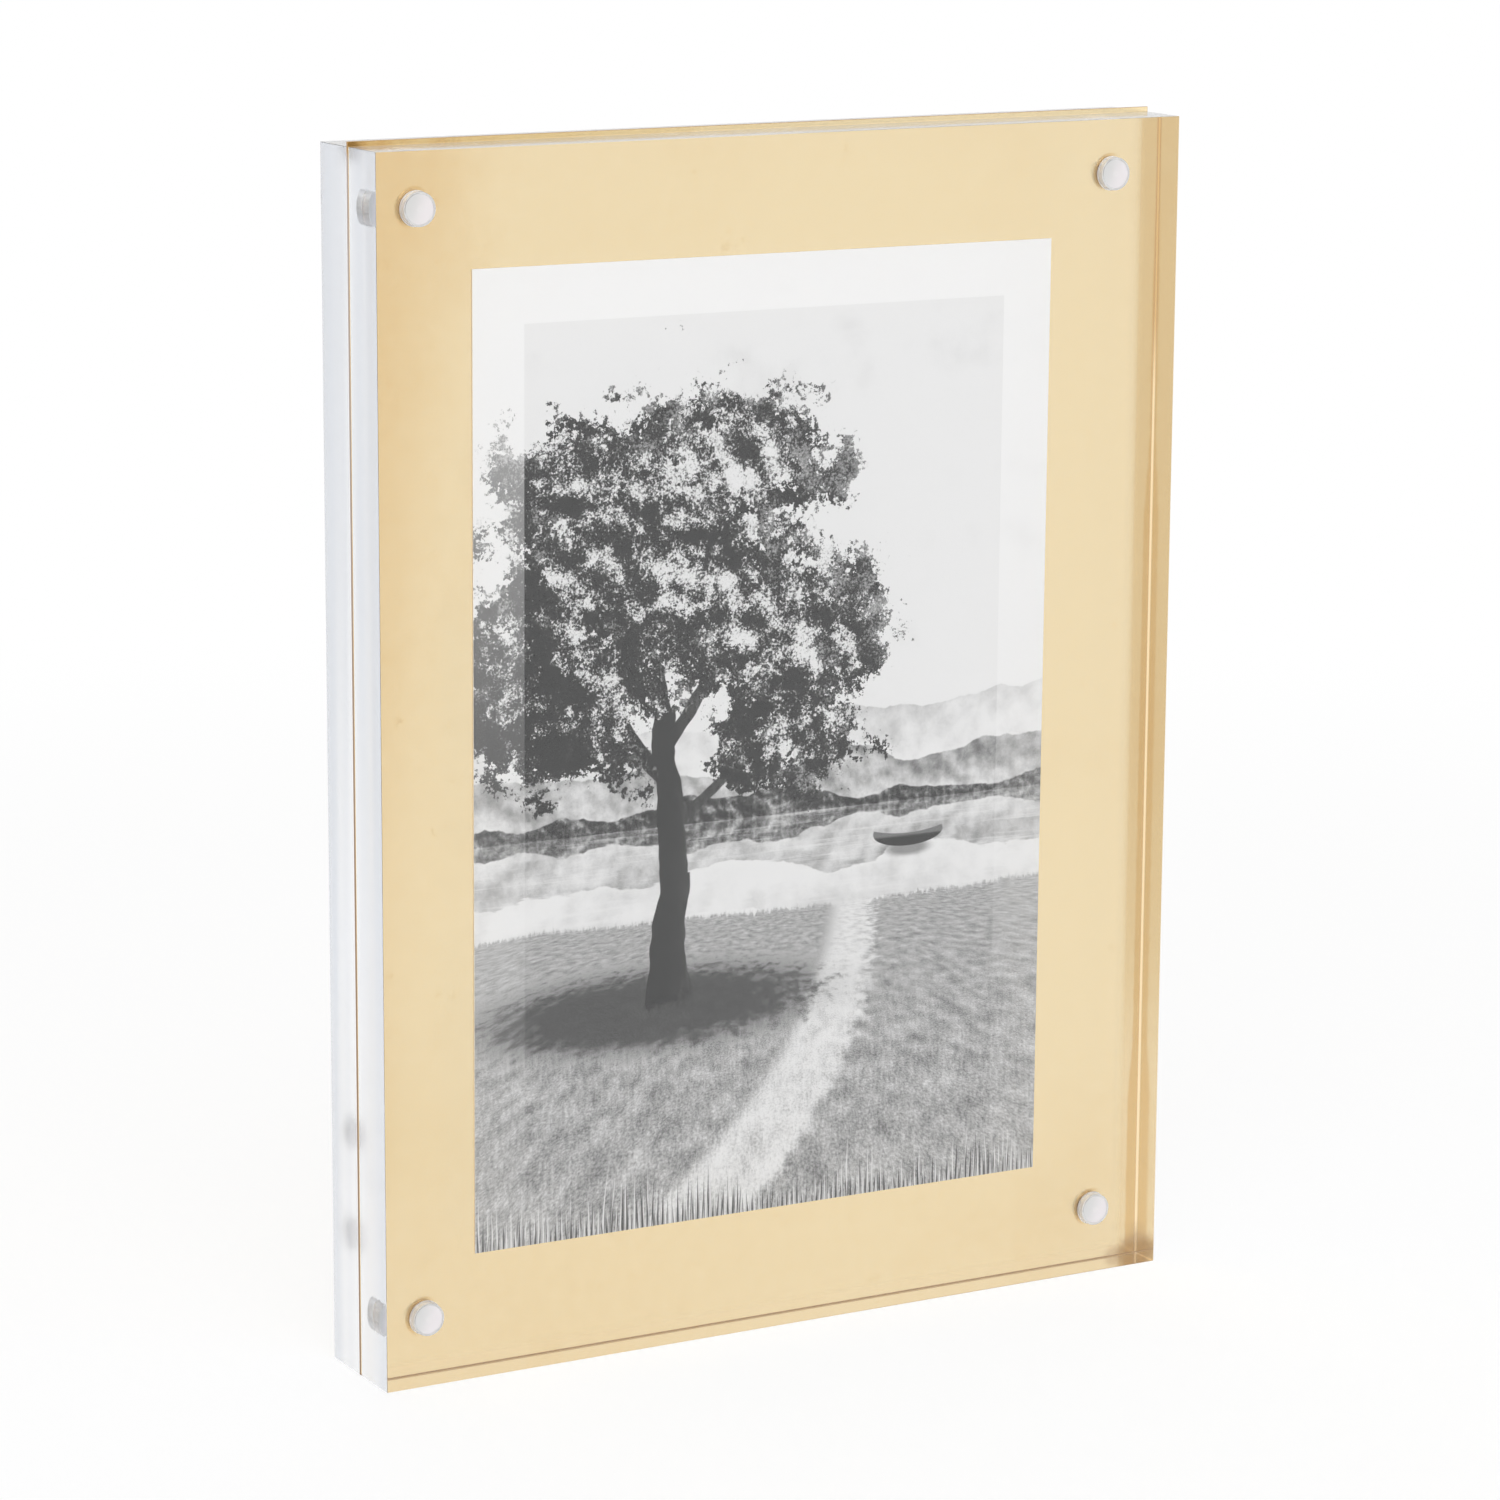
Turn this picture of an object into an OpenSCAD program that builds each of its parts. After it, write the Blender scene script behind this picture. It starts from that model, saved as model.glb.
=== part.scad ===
// Magnetic picture frame: two clear acrylic blocks that close on a brass sheet and a loose print.
// Millimetres, +Z up, front towards -Y. The origin is on the surface that the frame stands on,
// under the middle of its width and of its depth.

/* [Print] */
// Width of the print that the frame shows
print_w = 101.6; // [60:0.1:210]
// Height of the print
print_h = 152.4; // [80:0.1:300]
// Thickness of the photographic paper
print_t = 0.25; // [0.15:0.05:1]
// How far the loose print lies to the right of the middle
print_slip_x = -1.2; // [-4:0.1:4]
// How far the loose print lies above the middle
print_slip_z = -0.4; // [-4:0.1:4]
// How far the loose print is turned clockwise, in degrees
print_turn = 0.2; // [-1:0.1:1]

/* [Blocks] */
// Clear border at the left and right of the print
side_border = 19.2; // [12:0.1:60]
// Clear border above and below the print
end_border = 18.3; // [12:0.1:60]
// Thickness of each clear block
block_t = 9.3; // [6:0.1:25]
// Width of the polished bevel along every edge of a block
edge_bevel = 0.1; // [0.05:0.05:1.5]

/* [Brass sheet] */
// Thickness of the brass sheet
brass_t = 0.5; // [0.3:0.1:1.5]
// How far the sheet stands above the blocks' top faces
brass_rise = 0.75; // [0.2:0.05:3]
// How far the sheet stands out at the right; at the left it lies level with the blocks
brass_over = 0.3; // [0.1:0.1:1]
// Bevel that deburring leaves along the sheet's sheared edges
brass_deburr = 0.05; // [0.05:0.05:0.1]

/* [Magnets] */
// Diameter of each disc magnet
magnet_d = 5; // [3:0.5:10]
// Thickness of each disc magnet in the front block
front_magnet_t = 2; // [1:0.25:4]
// Thickness of each disc magnet in the back block
back_magnet_t = 1; // [1:0.25:4]
// Bevel on the magnet's two rims
magnet_bevel = 0.25; // [0.1:0.05:0.4]
// From a block's side face to the magnet's axis
magnet_from_side = 9.1; // [7:0.1:12]
// From a block's top or bottom face to the magnet's axis
magnet_from_end = 9.1; // [7:0.1:12]

/* [Magnet pockets] */
// Glue film between the magnet and the pocket's wall
glue_side = 0.1; // [0.05:0.05:0.3]
// Glue film between the magnet and the pocket's flat floor
glue_floor = 0.05; // [0.05:0.05:0.3]
// Depth of the magnet's outer face below the block's mating face
magnet_sink = 0.1; // [0.05:0.05:0.5]
// Bevel at the pocket's mouth
mouth_bevel = 0.15; // [0.05:0.05:0.3]

/* [Hidden] */
$fn = 96;

// Overrun of a cutter past the face that it opens
cut_over = 1;

// Outline of both blocks
block_w = print_w + 2 * side_border;
block_h = print_h + 2 * end_border;

// Faces of the sandwich along Y, from the front face to the back face
sandwich_t = 2 * block_t + print_t + brass_t;
front_face_y = -sandwich_t / 2;
front_mate_y = front_face_y + block_t;
brass_front_y = front_mate_y + print_t;
back_mate_y = brass_front_y + brass_t;

// Magnets and their pockets
pocket_r = magnet_d / 2 + glue_side;
magnet_x = block_w / 2 - magnet_from_side;
magnet_low_z = magnet_from_end;
magnet_high_z = block_h - magnet_from_end;

// Directions, as signs of an axis
LEFT = -1;
RIGHT = 1;
INTO_FRONT = -1;
INTO_BACK = 1;

// Rectangle about its middle, with each corner cut off at 45 degrees
module cut_rectangle(w, h, cut) {
    polygon([
        [-w / 2 + cut, -h / 2], [w / 2 - cut, -h / 2],
        [w / 2, -h / 2 + cut], [w / 2, h / 2 - cut],
        [w / 2 - cut, h / 2], [-w / 2 + cut, h / 2],
        [-w / 2, h / 2 - cut], [-w / 2, -h / 2 + cut]
    ]);
}

// Slab that stands on z = 0 behind the plane y = 0, with a bevel along all twelve edges
module bevelled_slab(w, t, h, bevel) {
    translate([0, t / 2, h / 2])
        intersection() {
            linear_extrude(h, center = true) cut_rectangle(w, t, bevel);
            rotate([90, 0, 0]) linear_extrude(t, center = true) cut_rectangle(w, h, bevel);
            rotate([90, 0, 90]) linear_extrude(w, center = true) cut_rectangle(t, h, bevel);
        }
}

// Turns what is made along +Z to point along Y, and puts it at one corner of a mating face
module at_corner(side, z, mate_y, into) {
    translate([side * magnet_x, mate_y, z]) rotate([-90 * into, 0, 0]) children();
}

// Flat-bottomed pocket for a disc of the given thickness, from its mouth at z = 0 upwards
module pocket_cutter(magnet_t) {
    pocket_depth = magnet_sink + magnet_t + glue_floor;
    mouth_r = pocket_r + mouth_bevel;
    rotate_extrude()
        polygon([
            [0, -cut_over], [mouth_r, -cut_over], [mouth_r, 0],
            [pocket_r, mouth_bevel], [pocket_r, pocket_depth], [0, pocket_depth]
        ]);
}

// One clear block with its four pockets, which open on the mating face
module clear_block(face_y, mate_y, into, magnet_t) {
    difference() {
        translate([0, face_y, 0]) bevelled_slab(block_w, block_t, block_h, edge_bevel);
        for (side = [LEFT, RIGHT], z = [magnet_low_z, magnet_high_z])
            at_corner(side, z, mate_y, into) pocket_cutter(magnet_t);
    }
}

// Disc magnet with bevelled rims, seated in its pocket on the glue
module disc_magnet(side, z, mate_y, into, magnet_t) {
    r = magnet_d / 2;
    color([0.86, 0.86, 0.88])
        at_corner(side, z, mate_y, into)
            translate([0, 0, magnet_sink])
                rotate_extrude()
                    polygon([
                        [0, 0], [r - magnet_bevel, 0], [r, magnet_bevel],
                        [r, magnet_t - magnet_bevel], [r - magnet_bevel, magnet_t], [0, magnet_t]
                    ]);
}

module front_magnet(side, z) {
    disc_magnet(side, z, front_mate_y, INTO_FRONT, front_magnet_t);
}

module back_magnet(side, z) {
    disc_magnet(side, z, back_mate_y, INTO_BACK, back_magnet_t);
}

module front_block() {
    color([0.86, 0.92, 0.95, 0.35]) clear_block(front_face_y, front_mate_y, INTO_FRONT, front_magnet_t);
}

module back_block() {
    color([0.86, 0.92, 0.95, 0.35]) clear_block(back_mate_y, back_mate_y, INTO_BACK, back_magnet_t);
}

// Loose sheet, level with the blocks at its foot and left edge, proud of them at the top and the right
module brass_sheet() {
    color([0.87, 0.74, 0.45])
        translate([brass_over / 2, brass_front_y, 0])
            bevelled_slab(block_w + brass_over, brass_t, block_h + brass_rise, brass_deburr);
}

// Loose print, held flat between the front block and the brass
module photo_print() {
    color([0.8, 0.8, 0.8])
        translate([print_slip_x, front_mate_y + print_t / 2, block_h / 2 + print_slip_z])
            rotate([0, print_turn, 0]) cube([print_w, print_t, print_h], center = true);
}

module magnet_front_top_left() { front_magnet(LEFT, magnet_high_z); }
module magnet_front_top_right() { front_magnet(RIGHT, magnet_high_z); }
module magnet_front_bottom_left() { front_magnet(LEFT, magnet_low_z); }
module magnet_front_bottom_right() { front_magnet(RIGHT, magnet_low_z); }
module magnet_back_top_left() { back_magnet(LEFT, magnet_high_z); }
module magnet_back_top_right() { back_magnet(RIGHT, magnet_high_z); }
module magnet_back_bottom_left() { back_magnet(LEFT, magnet_low_z); }
module magnet_back_bottom_right() { back_magnet(RIGHT, magnet_low_z); }

front_block();
back_block();
brass_sheet();
photo_print();
magnet_front_top_left();
magnet_front_top_right();
magnet_front_bottom_left();
magnet_front_bottom_right();
magnet_back_top_left();
magnet_back_top_right();
magnet_back_bottom_left();
magnet_back_bottom_right();
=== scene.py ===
import math

import bmesh
import bpy
from bpy.props import FloatProperty, FloatVectorProperty, IntProperty, PointerProperty
from mathutils import Matrix, Vector


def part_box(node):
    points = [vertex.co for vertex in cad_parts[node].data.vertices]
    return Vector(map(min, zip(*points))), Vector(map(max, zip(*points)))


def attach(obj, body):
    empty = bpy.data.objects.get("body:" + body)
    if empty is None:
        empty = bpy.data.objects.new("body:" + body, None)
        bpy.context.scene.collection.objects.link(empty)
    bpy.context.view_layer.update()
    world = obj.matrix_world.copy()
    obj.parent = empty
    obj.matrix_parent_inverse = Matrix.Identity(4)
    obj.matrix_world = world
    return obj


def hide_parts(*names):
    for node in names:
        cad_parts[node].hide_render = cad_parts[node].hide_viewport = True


bl_info = {
    "name": "Magnetic Picture Frame",
    "version": (1, 0, 0),
    "blender": (4, 5, 0),
    "location": "3D View > Sidebar > Picture Frame",
    "description": "Dresses a brass and acrylic picture frame: blocks, sheet, print, magnets and studio",
    "category": "Object",
}

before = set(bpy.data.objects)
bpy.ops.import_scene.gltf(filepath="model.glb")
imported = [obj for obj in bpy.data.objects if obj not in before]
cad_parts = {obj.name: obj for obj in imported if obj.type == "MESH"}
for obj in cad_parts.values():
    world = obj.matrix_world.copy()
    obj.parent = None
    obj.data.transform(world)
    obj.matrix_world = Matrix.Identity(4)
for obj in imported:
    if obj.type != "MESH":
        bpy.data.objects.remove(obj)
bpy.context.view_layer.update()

MM = 0.001
CORNERS = [f"{end}_{side}" for end in ("top", "bottom") for side in ("left", "right")]
# Air between pieces that lie on each other, without which the clear blocks would not mirror inside
AIR_FILM = 0.015 * MM
# Share by which a magnet pocket widens at its mouth
MOUTH_SHARE = 0.05
# Radius of the cut edges of the paper
PAPER_EDGE = 0.03 * MM


class Channel:
    """One output of a shader node. Arithmetic on it adds Math nodes."""

    def __init__(self, graph, socket):
        self.graph = graph
        self.socket = socket

    def __add__(self, other):
        return self.graph.math("ADD", self, other)

    def __radd__(self, other):
        return self.graph.math("ADD", other, self)

    def __sub__(self, other):
        return self.graph.math("SUBTRACT", self, other)

    def __rsub__(self, other):
        return self.graph.math("SUBTRACT", other, self)

    def __mul__(self, other):
        return self.graph.math("MULTIPLY", self, other)

    def __rmul__(self, other):
        return self.graph.math("MULTIPLY", other, self)

    def __truediv__(self, other):
        return self.graph.math("DIVIDE", self, other)

    def __rtruediv__(self, other):
        return self.graph.math("DIVIDE", other, self)

    def __pow__(self, other):
        return self.graph.math("POWER", self, other)

    def __rpow__(self, other):
        return self.graph.math("POWER", other, self)

    def __lt__(self, other):
        return self.graph.math("LESS_THAN", self, other)

    def __gt__(self, other):
        return self.graph.math("GREATER_THAN", self, other)

    def __abs__(self):
        return self.graph.math("ABSOLUTE", self)


class Graph:
    """The node tree of one material, or of the world."""

    def __init__(self, owner):
        self.owner = owner
        owner.use_nodes = True
        self.tree = owner.node_tree
        self.tree.nodes.clear()

    def node(self, kind, settings=None, sockets=None, outlet=0):
        """Adds a node: its settings first, then its sockets' values or links. Returns one of its outputs."""
        made = self.tree.nodes.new("ShaderNode" + kind)
        for name, value in (settings or {}).items():
            setattr(made, name, value)
        for name, value in (sockets or {}).items():
            if isinstance(value, Channel):
                self.tree.links.new(value.socket, made.inputs[name])
            else:
                made.inputs[name].default_value = value
        return Channel(self, made.outputs[outlet]) if made.outputs else None

    def math(self, operation, *terms):
        return self.node("Math", {"operation": operation}, dict(enumerate(terms)))

    def smooth(self, value, low, high):
        """0 below low, 1 above high and a soft step between; low may be the larger."""
        settings = {"interpolation_type": "SMOOTHSTEP"}
        return self.node("MapRange", settings, {"Value": value, "From Min": low, "From Max": high})

    def place(self):
        """Object coordinates in millimetres."""
        metres = self.node("TexCoord", outlet="Object")
        return self.node("VectorMath", {"operation": "SCALE"}, {0: metres, "Scale": 1 / MM})

    def axes(self, vector):
        """The three numbers of a vector."""
        split = self.node("SeparateXYZ", None, {0: vector})
        return [Channel(self, s) for s in split.socket.node.outputs]

    def from_magnet(self, x, z):
        """Millimetres to the right of, above and away from the axis of the nearest magnet."""
        low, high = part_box("magnet_front_top_right")
        axis = (low + high) / 2 / MM
        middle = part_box("front_block")[1].z / MM / 2
        u = x - axis.x * self.math("SIGN", x)
        v = z - middle - (axis.z - middle) * self.math("SIGN", z - middle)
        return u, v, self.math("SQRT", u * u + v * v)

    def vector(self, x=0.0, y=0.0, z=0.0):
        return self.node("CombineXYZ", None, {"X": x, "Y": y, "Z": z})

    def shifted(self, vector, by):
        return self.node("VectorMath", {"operation": "ADD"}, {0: vector, 1: by})

    def noise(self, vector, scale, detail=2.0, roughness=0.5):
        sockets = {"Vector": vector, "Scale": scale, "Detail": detail, "Roughness": roughness}
        return self.node("TexNoise", None, sockets)

    def mix(self, mask, low, high):
        """Blends two colours."""
        low, high = [c if isinstance(c, Channel) else (*c, 1) for c in (low, high)]
        return self.node("Mix", {"data_type": "RGBA"}, {"Factor": mask, 6: low, 7: high}, outlet=2)

    def blend(self, mask, low, high):
        """Blends two numbers."""
        return self.node("Mix", {"data_type": "FLOAT"}, {0: mask, 2: low, 3: high})

    def grey(self, tone):
        """A number from 0 to 1, as the eye sees it, as a colour."""
        eye_gamma = 2.2
        light = tone**eye_gamma
        return self.node("CombineColor", None, {0: light, 1: light, 2: light})

    def bump(self, height, distance):
        return self.node("Bump", None, {"Height": height, "Distance": distance})

    def principled(self, sockets):
        return self.node("BsdfPrincipled", None, sockets)

    def finish(self, surface, volume=None):
        links = {"Surface": surface} | ({"Volume": volume} if volume else {})
        self.node("OutputMaterial", None, links)
        return self.owner


def new_material(name):
    return Graph(bpy.data.materials.new(name))


def rounded_slab(low, high, rim, keep=None):
    """A slab between two corners with rounded edges, apart from those in the plane y = keep."""
    bm = bmesh.new()
    bmesh.ops.create_cube(bm, size=1)
    bmesh.ops.scale(bm, vec=high - low, verts=bm.verts)
    bmesh.ops.translate(bm, vec=(low + high) / 2, verts=bm.verts)
    edges = [e for e in bm.edges if keep is None or max(abs(v.co.y - keep) for v in e.verts) > rim]
    bmesh.ops.bevel(bm, geom=edges, offset=rim, segments=2, profile=0.5, affect="EDGES", material=-1)
    return bm


def finished_piece(bm, name, materials, body, node):
    """Turns a bmesh into the piece that stands for one CAD node."""
    mesh = bpy.data.meshes.new(name)
    bm.to_mesh(mesh)
    bm.free()
    for material in materials:
        mesh.materials.append(material)
    piece = bpy.data.objects.new(name, mesh)
    bpy.context.scene.collection.objects.link(piece)
    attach(piece, body)
    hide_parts(node)
    return piece


class FRAME_PG_acrylic(bpy.types.PropertyGroup):
    """The clear blocks."""

    ior: FloatProperty(
        name="IOR",
        description="Refraction of the clear blocks",
        default=1.553,
        min=1.3,
        max=1.7,
    )
    edge: FloatProperty(
        name="Edge",
        description="Radius of the polished edges",
        default=0.1 * MM,
        min=0.02 * MM,
        unit="LENGTH",
    )
    tint: FloatVectorProperty(
        name="Edge Tint",
        description="Colour of the light that comes a long way through the block",
        subtype="COLOR",
        size=3,
        default=(0.68, 0.72, 0.8),
        min=0,
        max=1,
    )
    density: FloatProperty(
        name="Edge Density", description="Strength of the tint for each metre", default=1.0, min=0
    )
    # Colour of the painted shade in bands on the left side
    shade_band: FloatVectorProperty(
        name="Side Bands",
        description="Colour of the light through the duller bands of a side",
        subtype="COLOR",
        size=3,
        default=(0.64, 0.68, 0.75),
        min=0,
        max=1,
    )
    sawn: FloatProperty(
        name="Side Haze",
        description="Roughness that the saw leaves on the sides and the top, after they are polished",
        default=0.12,
        min=0,
        max=1,
        subtype="FACTOR",
    )
    haze: FloatProperty(
        name="Pocket Haze",
        description="Roughness that the cutter leaves in the magnet pockets",
        default=0.5,
        min=0,
        max=1,
        subtype="FACTOR",
    )
    frost: FloatProperty(
        name="Pocket Frost",
        description="Share of the light that the milled pocket scatters white",
        default=0.45,
        min=0,
        max=1,
        subtype="FACTOR",
    )
    back_frost: FloatProperty(
        name="Back Pocket Frost",
        description="Share of the light that the back block's pockets scatter white",
        default=0.95,
        min=0,
        max=1,
        subtype="FACTOR",
    )
    slack: FloatProperty(
        name="Pocket Slack",
        description="Glue space round a magnet",
        default=0.1 * MM,
        min=0.02 * MM,
        unit="LENGTH",
    )


class FRAME_OT_acrylic_blocks(bpy.types.Operator):
    """Makes the two clear blocks, each with four milled pockets in its mating face"""

    bl_idname = "picture_frame.acrylic_blocks"
    bl_label = "Acrylic Blocks"

    def execute(self, context):
        settings = context.scene.frame_acrylic
        acrylic, glue = self.acrylic(settings), self.glue(settings)
        for body, into, frost in (("front", -1, settings.frost), ("back", 1, settings.back_frost)):
            block = self.block(body, into, settings)
            materials = [acrylic, self.milled(settings, body, frost), glue]
            finished_piece(block, f"clear_{body}_block", materials, body, f"{body}_block")
        return {"FINISHED"}

    def block(self, body, into, settings):
        low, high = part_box(f"{body}_block")
        mate = high.y if into < 0 else low.y
        bm = rounded_slab(low, high, settings.edge, keep=mate)
        mating = max(bm.faces, key=lambda face: face.calc_area() * -into * face.normal.y)
        outline = list(mating.edges)
        bmesh.ops.delete(bm, geom=[mating], context="FACES_ONLY")
        mouths = []
        for corner in CORNERS:
            magnet_low, magnet_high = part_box(f"magnet_{body}_{corner}")
            centre = (magnet_low + magnet_high) / 2
            wall = (magnet_high.x - magnet_low.x) / 2 + settings.slack
            # The glue is half as thick on the floor as round the wall
            depth = abs((magnet_low if into < 0 else magnet_high).y - mate) + settings.slack / 2
            centre.y = mate
            circle = bmesh.ops.create_circle(
                bm,
                segments=72,
                radius=wall * (1 + MOUTH_SHARE),
                matrix=Matrix.Translation(centre) @ Matrix.Rotation(math.pi / 2, 4, "X"),
            )
            rim = list(dict.fromkeys(edge for vert in circle["verts"] for edge in vert.link_edges))
            mouths.append((rim, centre, wall, depth))
        edges = outline + [edge for rim, *_ in mouths for edge in rim]
        bmesh.ops.triangle_fill(bm, edges=edges, use_beauty=True, normal=(0, -into, 0))
        for mouth in mouths:
            self.pocket(bm, *mouth, into)
        bmesh.ops.recalc_face_normals(bm, faces=bm.faces)
        return bm

    def pocket(self, bm, rim, centre, wall, depth, into):
        """Sinks a flat-bottomed pocket from its rim."""
        about = Matrix.Translation(-centre)
        bevel = wall * MOUTH_SHARE
        for shrink, sink in ((wall / (wall + bevel), bevel), (1, depth - bevel)):
            for edge in rim:
                edge.smooth = False
            made = bmesh.ops.extrude_edge_only(bm, edges=rim)["geom"]
            verts = [item for item in made if isinstance(item, bmesh.types.BMVert)]
            rim = [e for e in made if isinstance(e, bmesh.types.BMEdge) and set(e.verts) <= set(verts)]
            bmesh.ops.scale(bm, vec=(shrink, 1, shrink), space=about, verts=verts)
            bmesh.ops.translate(bm, vec=(0, into * sink, 0), verts=verts)
            for face in made:
                if isinstance(face, bmesh.types.BMFace):
                    face.material_index = 1
                    face.smooth = True
        for face in bmesh.ops.contextual_create(bm, geom=rim)["faces"]:
            face.material_index = 2
            face.smooth = False
        for edge in rim:
            edge.smooth = False

    def acrylic(self, settings):
        """Clear cast acrylic, hazy on its sides and its top, which were sawn before they were polished, with
        painted shade in soft bands on its left side.
        """
        g = new_material("clear_acrylic")
        place = g.place()
        polish = g.noise(place, scale=0.12, detail=3) + 0.03 * g.noise(place, scale=3.0, roughness=0.6)
        x, y, z = g.axes(place)
        side, _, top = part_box("front_block")[1] / MM
        # What lies less deep than this under a side or the top belongs to that face
        skin = 0.03
        sawn = g.smooth(g.math("MAXIMUM", abs(x) - side, z - top), -skin, -skin / 3)
        # Painted shade, on the left side only: soft bands along it, darker high up and towards the outer
        # faces
        bands = g.noise(g.vector(y * 0.45, z * 0.006), scale=1.0) - 0.5
        painted_side_shade = 0.25 + 0.5 * g.smooth(z, 20, 150) + 0.9 * bands
        painted_side_shade = painted_side_shade + 0.4 * g.smooth(abs(y), 5.5, 7.5) - 0.35 * g.smooth(abs(y), 3.0, 0.5)
        painted_side_shade = g.smooth(painted_side_shade, 0, 1) * (x < skin - side)
        shader = g.principled(
            {
                "Base Color": g.mix(painted_side_shade, (1, 1, 1), settings.shade_band),
                "Roughness": settings.sawn * sawn,
                "IOR": settings.ior,
                "Transmission Weight": 1.0,
                "Normal": g.bump(polish, 0.0015 * MM),
            }
        )
        sockets = {"Color": (*settings.tint, 1), "Density": settings.density}
        return g.finish(shader, g.node("VolumeAbsorption", None, sockets))

    def milled(self, settings, body, frost):
        """The pocket's wall: hazy, with the turning marks that run round it."""
        g = new_material(f"milled_acrylic_{body}")
        place = g.place()
        _, y, _ = g.axes(place)
        marks = g.noise(g.vector(y * 4.0), scale=1.5, detail=3, roughness=0.7)
        chalk = g.noise(place, scale=1.2, detail=3, roughness=0.6)
        shader = g.principled(
            {
                "Base Color": g.mix(g.smooth(marks, 0.35, 0.6), (0.72, 0.72, 0.73), (1, 1, 1)),
                "Roughness": settings.haze + 0.2 * (chalk - 0.5),
                "IOR": settings.ior,
                "Transmission Weight": 1 - frost,
                "Normal": g.bump(marks, 0.01 * MM),
            }
        )
        return g.finish(shader)

    def glue(self, settings):
        """Clear glue that wets the pocket's floor, so that the magnet shows sharply, in a white ring: a glue
        bead that is partly painted highlight.
        """
        g = new_material("clear_glue")
        place = g.place()
        x, _, z = g.axes(place)
        u, v, away = g.from_magnet(x, z)
        low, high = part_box("magnet_front_top_right")
        radius = (high.x - low.x) / 2 / MM
        ripple = g.noise(place, scale=1.5) - 0.5
        # Painted shade: the white ring is narrower at the upper left
        upper_left_shade = g.smooth(u - 0.7 * v + 2 * ripple, -1.2, -2.6)
        clear = g.principled(
            {
                "Base Color": (0.97, 0.97, 0.97, 1),
                "Roughness": 0.0,
                "IOR": 1.0,
                "Transmission Weight": 1.0,
            }
        )
        bead_and_highlight = g.principled(
            {
                "Base Color": g.mix(ripple + 0.5, (0.9, 0.9, 0.9), (1, 1, 1)),
                "Roughness": 0.5,
            }
        )
        ring = g.smooth(away - 0.15 * upper_left_shade + 0.1 * ripple, radius - 0.26, radius - 0.18)
        return g.finish(g.node("MixShader", None, {0: ring, 1: clear, 2: bead_and_highlight}))


class FRAME_PG_brass(bpy.types.PropertyGroup):
    """The brass sheet."""

    clean: FloatVectorProperty(
        name="Clean Brass",
        description="Colour where the sheet is bright",
        subtype="COLOR",
        size=3,
        default=(0.87, 0.715, 0.44),
        min=0,
        max=1,
    )
    # Also the colour of the painted shade along the right edge and round the magnets
    dull_and_shaded: FloatVectorProperty(
        name="Tarnished Brass",
        description="Colour where the sheet has gone dull",
        subtype="COLOR",
        size=3,
        default=(0.74, 0.5, 0.2),
        min=0,
        max=1,
    )
    # Also stands for painted shade in the gaps at the sheet's edges
    sheared: FloatVectorProperty(
        name="Sheared Edge",
        description="Colour of the brown oxide on the cut edges",
        subtype="COLOR",
        size=3,
        default=(0.36, 0.23, 0.14),
        min=0,
        max=1,
    )
    rim: FloatProperty(
        name="Rim",
        description="Radius that deburring leaves on the cut edges",
        default=0.02 * MM,
        min=0.01 * MM,
        unit="LENGTH",
    )
    roughness: FloatProperty(
        name="Roughness",
        description="Satin of the rolled sheet",
        default=0.24,
        min=0,
        max=1,
        subtype="FACTOR",
    )


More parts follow.
